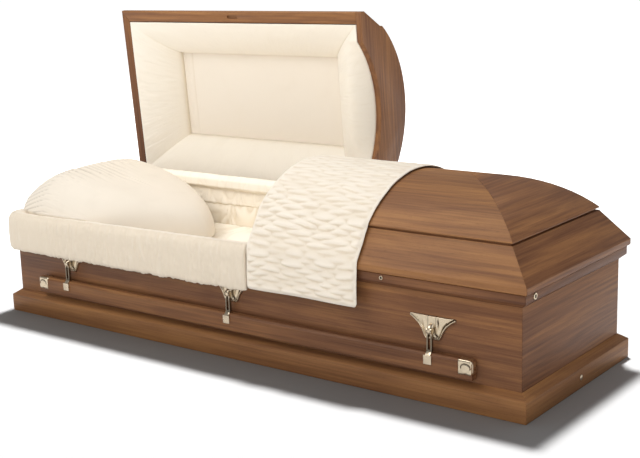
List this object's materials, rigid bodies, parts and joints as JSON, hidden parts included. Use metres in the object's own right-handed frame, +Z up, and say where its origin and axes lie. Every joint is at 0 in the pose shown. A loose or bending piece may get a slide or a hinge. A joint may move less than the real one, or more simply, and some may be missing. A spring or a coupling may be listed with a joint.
{
  "type": "coffin",
  "caption": "Lined wooden coffin in half-couch form: hinged crowned lids, one open and one shut under a draped throw, pillow and mattress inside, swinging bar handles on both long sides",
  "frame": {"origin": "centre of the underside of the box, on the bottom board", "axes": "+X along the coffin from the head end to the foot end, +Y from the front to the hinged back, +Z up"},
  "size_m": [2.1398, 0.9322, 1.0631],
  "materials": {
    "walnut": "satin lacquered wood",
    "brass": "pale polished brass",
    "cream_cloth": "shirred cream cloth"
  },
  "bodies": {
    "shell": {"base_moulding_front": "walnut", "base_moulding_back": "walnut", "base_moulding_head": "walnut", "base_moulding_foot": "walnut", "wall_front": "walnut", "wall_back": "walnut", "wall_head": "walnut", "wall_foot": "walnut", "rim_moulding_front": "walnut", "rim_moulding_back": "walnut", "rim_moulding_head": "walnut", "rim_moulding_foot": "walnut", "bottom_board": "walnut", "front_ear_head": "brass", "front_ear_middle": "brass", "front_ear_foot": "brass", "back_ear_head": "brass", "back_ear_middle": "brass", "back_ear_foot": "brass", "head_lid_box_leaf": "brass", "foot_lid_box_leaf": "brass", "foot_end_lock": "brass", "front_catch": "brass", "base_cap": "brass", "mattress": "cream_cloth", "wall_lining": "cream_cloth", "back_roll": "cream_cloth", "pillow": "cream_cloth", "extendover": "cream_cloth"},
    "head_lid": {"head_lid_header": "walnut", "head_lid_ogee_front": "walnut", "head_lid_ogee_back": "walnut", "head_lid_ogee_end": "walnut", "head_lid_crown": "walnut", "head_lid_crown_end": "walnut", "head_lid_lining_border": "cream_cloth", "head_lid_lining_panel": "cream_cloth", "head_lid_hinge_leaf": "brass"},
    "foot_lid": {"foot_lid_header": "walnut", "foot_lid_ogee_front": "walnut", "foot_lid_ogee_back": "walnut", "foot_lid_ogee_end": "walnut", "foot_lid_crown": "walnut", "foot_lid_crown_end": "walnut", "foot_lid_lining_border": "cream_cloth", "foot_lid_lining_panel": "cream_cloth", "foot_lid_hinge_leaf": "brass", "throw": "cream_cloth"},
    "front_handle": {"front_bar": "walnut", "front_bar_cap_head": "brass", "front_bar_cap_foot": "brass", "front_arm_head": "brass", "front_arm_middle": "brass", "front_arm_foot": "brass"},
    "back_handle": {"back_bar": "walnut", "back_bar_cap_head": "brass", "back_bar_cap_foot": "brass", "back_arm_head": "brass", "back_arm_middle": "brass", "back_arm_foot": "brass"}
  },
  "joints": [
    {"name": "head_lid_hinge", "type": "hinge", "parent": "shell", "child": "head_lid", "pos_m": [0, 0.36, 0.364], "axis": [1, 0, 0], "range_deg": [0, 85.5], "deforming": ["pillow", "extendover", "back_roll"]},
    {"name": "foot_lid_hinge", "type": "hinge", "parent": "shell", "child": "foot_lid", "pos_m": [0, 0.36, 0.364], "axis": [1, 0, 0], "range_deg": [-85.5, 0]},
    {"name": "front_handle_swing", "type": "hinge", "parent": "shell", "child": "front_handle", "pos_m": [0, -0.33275, 0.214], "axis": [-1, 0, 0], "range_deg": [0, 85]},
    {"name": "back_handle_swing", "type": "hinge", "parent": "shell", "child": "back_handle", "pos_m": [0, 0.33275, 0.214], "axis": [1, 0, 0], "range_deg": [0, 85]}
  ]
}
